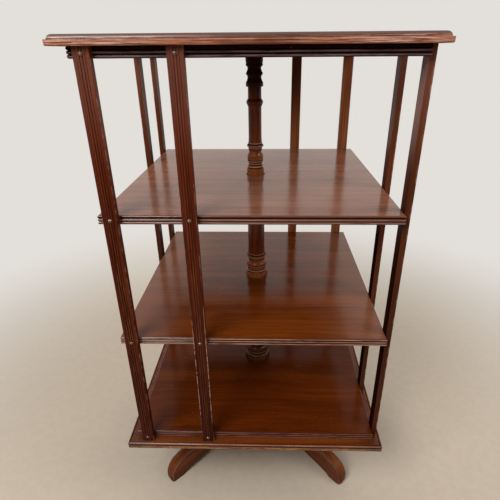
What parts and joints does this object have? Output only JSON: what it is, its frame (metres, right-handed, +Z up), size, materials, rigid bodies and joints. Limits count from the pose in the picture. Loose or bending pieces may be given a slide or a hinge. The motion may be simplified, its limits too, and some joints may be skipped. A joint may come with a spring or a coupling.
{
  "type": "revolving bookcase",
  "caption": "Square open revolving bookcase in mahogany with reeded slats, turning on a fixed turned column over swept legs.",
  "frame": {"origin": "on the floor under the centre of the column", "axes": "+Z up along the column, front side towards -Y, +X to the right seen from the front"},
  "size_m": [0.61, 0.61, 1.098],
  "materials": {
    "mahogany": "french polished",
    "top_mahogany": "worn french polish",
    "slat_mahogany": "french polished",
    "column_mahogany": "french polished",
    "brass": "tarnished",
    "iron": "blackened",
    "steel": "dull"
  },
  "bodies": {
    "base": {"column": "column_mahogany", "hub": "mahogany", "front_left_leg": "mahogany", "front_right_leg": "mahogany", "back_right_leg": "mahogany", "back_left_leg": "mahogany", "pivot_pin": "steel", "bearing_ring": "brass", "cross_plate": "iron", "cross_plate_screws": "steel"},
    "case": {"top_board": "top_mahogany", "frieze_board": "mahogany", "upper_shelf": "mahogany", "middle_shelf": "mahogany", "bottom_shelf": "mahogany", "base_board": "mahogany", "front_corner_slat": "slat_mahogany", "front_inner_slat": "slat_mahogany", "right_corner_slat": "slat_mahogany", "right_inner_slat": "slat_mahogany", "back_corner_slat": "slat_mahogany", "back_inner_slat": "slat_mahogany", "left_corner_slat": "slat_mahogany", "left_inner_slat": "slat_mahogany", "frieze_slat_screws": "brass", "upper_slat_screws": "brass", "middle_slat_screws": "brass", "bottom_slat_screws": "brass", "top_board_screws": "steel", "base_board_screws": "steel", "socket_plate": "iron", "socket_plate_screws": "steel", "guide_plate": "iron", "guide_plate_screws": "steel"}
  },
  "joints": [
    {"name": "case_spin", "type": "hinge", "parent": "base", "child": "case", "pos_m": [0, 0, 0], "axis": [0, 0, 1], "continuous": true}
  ]
}
